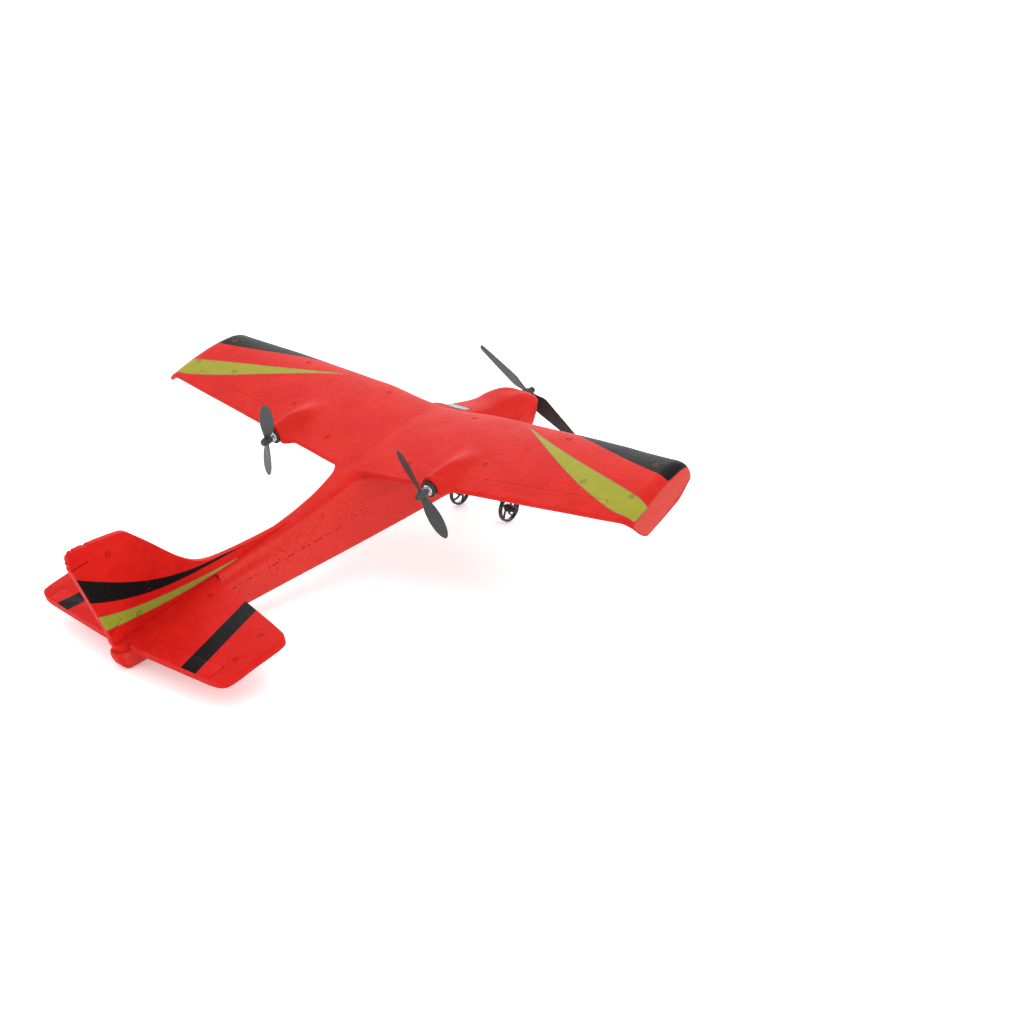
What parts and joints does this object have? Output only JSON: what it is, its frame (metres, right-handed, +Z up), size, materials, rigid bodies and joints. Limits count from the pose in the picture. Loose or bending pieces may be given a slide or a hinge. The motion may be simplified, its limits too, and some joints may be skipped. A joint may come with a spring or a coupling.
{
  "type": "foam radio-controlled monoplane",
  "caption": "Small foam radio-controlled high-wing monoplane with pusher motors, a free-turning nose propeller, trim tabs and wire landing gear.",
  "frame": {"origin": "on the ground, under the middle of the plane's box, as it stands on its wheels and tail", "axes": "+Z up, +X towards the left wing tip, -Y towards the nose"},
  "size_m": [0.35, 0.3226, 0.0888],
  "materials": {
    "red_foam": "moulded bead foam with printed stripes",
    "black_plastic": "satin moulded plastic",
    "propeller_plastic": "semi-gloss moulded plastic",
    "wheel_plastic": "satin moulded plastic",
    "steel_wire": "drawn wire",
    "motor_can": "bright plated can",
    "white_plastic": "satin",
    "battery_wrap": "shrink wrap",
    "circuit_board": "solder mask",
    "lead_sheath": "flexible sheath"
  },
  "bodies": {
    "airframe": {"fuselage": "red_foam", "wing": "red_foam", "fin": "red_foam", "tailplane": "red_foam", "motor_mount_left": "black_plastic", "motor_mount_right": "black_plastic", "motor_left": "motor_can", "motor_right": "motor_can", "motor_lead_left": "lead_sheath", "motor_lead_right": "lead_sheath", "nose_bearing": "black_plastic", "landing_gear_plate": "black_plastic", "gear_leg_left": "steel_wire", "gear_leg_right": "steel_wire", "wheel_collar_left": "wheel_plastic", "wheel_collar_right": "wheel_plastic", "battery": "battery_wrap", "control_board": "circuit_board", "switch_body": "black_plastic"},
    "propeller_left": {"propeller_left": "propeller_plastic", "motor_shaft_left": "steel_wire"},
    "propeller_right": {"propeller_right": "propeller_plastic", "motor_shaft_right": "steel_wire"},
    "nose_propeller": {"nose_propeller": "propeller_plastic", "nose_shaft": "steel_wire", "nose_prop_cap": "propeller_plastic"},
    "wheel_left": {"wheel_left": "wheel_plastic"},
    "wheel_right": {"wheel_right": "wheel_plastic"},
    "rudder_tab": {"rudder_tab": "red_foam"},
    "elevator_left": {"elevator_left": "red_foam"},
    "elevator_right": {"elevator_right": "red_foam"},
    "aileron_left": {"aileron_left": "red_foam"},
    "aileron_right": {"aileron_right": "red_foam"},
    "battery_cover": {"battery_cover": "black_plastic"},
    "switch_slider": {"switch_slider": "white_plastic"}
  },
  "joints": [
    {"name": "propeller_left_spin", "type": "hinge", "parent": "airframe", "child": "propeller_left", "pos_m": [0.0579, -0.00442, 0.06019], "axis": [0, -0.9686, 0.2485], "continuous": true},
    {"name": "propeller_right_spin", "type": "hinge", "parent": "airframe", "child": "propeller_right", "pos_m": [-0.0579, -0.00442, 0.06019], "axis": [0, -0.9686, 0.2485], "continuous": true},
    {"name": "nose_propeller_spin", "type": "hinge", "parent": "airframe", "child": "nose_propeller", "pos_m": [0, -0.15492, 0.06432], "axis": [0, -0.9686, 0.2485], "continuous": true},
    {"name": "wheel_left_roll", "type": "hinge", "parent": "airframe", "child": "wheel_left", "pos_m": [0.0191, -0.11646, 0.0082], "axis": [-1, 0, 0], "continuous": true},
    {"name": "wheel_right_roll", "type": "hinge", "parent": "airframe", "child": "wheel_right", "pos_m": [-0.0191, -0.11646, 0.0082], "axis": [-1, 0, 0], "continuous": true},
    {"name": "rudder_trim", "type": "hinge", "parent": "airframe", "child": "rudder_tab", "pos_m": [0, 0.14426, 0.04187], "axis": [0, 0.3941, 0.9191], "range_deg": [-12, 12]},
    {"name": "elevator_left_trim", "type": "hinge", "parent": "airframe", "child": "elevator_left", "pos_m": [0.03825, 0.12722, 0.01496], "axis": [-0.9982, 0.0574, -0.0147], "range_deg": [-12, 12]},
    {"name": "elevator_right_trim", "type": "hinge", "parent": "airframe", "child": "elevator_right", "pos_m": [-0.03825, 0.12722, 0.01496], "axis": [-0.9982, -0.0574, 0.0147], "range_deg": [-12, 12]},
    {"name": "aileron_left_trim", "type": "hinge", "parent": "airframe", "child": "aileron_left", "pos_m": [0.115, -0.03109, 0.06786], "axis": [-0.9911, 0.1065, -0.0793], "range_deg": [-12, 12]},
    {"name": "aileron_right_trim", "type": "hinge", "parent": "airframe", "child": "aileron_right", "pos_m": [-0.115, -0.03109, 0.06786], "axis": [-0.9911, -0.1065, 0.0793], "range_deg": [-12, 12]},
    {"name": "battery_cover_out", "type": "slide", "parent": "airframe", "child": "battery_cover", "axis": [0, -0.1245, -0.9922], "range_m": [0, 0.012]},
    {"name": "power_switch", "type": "slide", "parent": "airframe", "child": "switch_slider", "axis": [0, -0.9922, 0.1245], "range_m": [0, 0.002]}
  ]
}
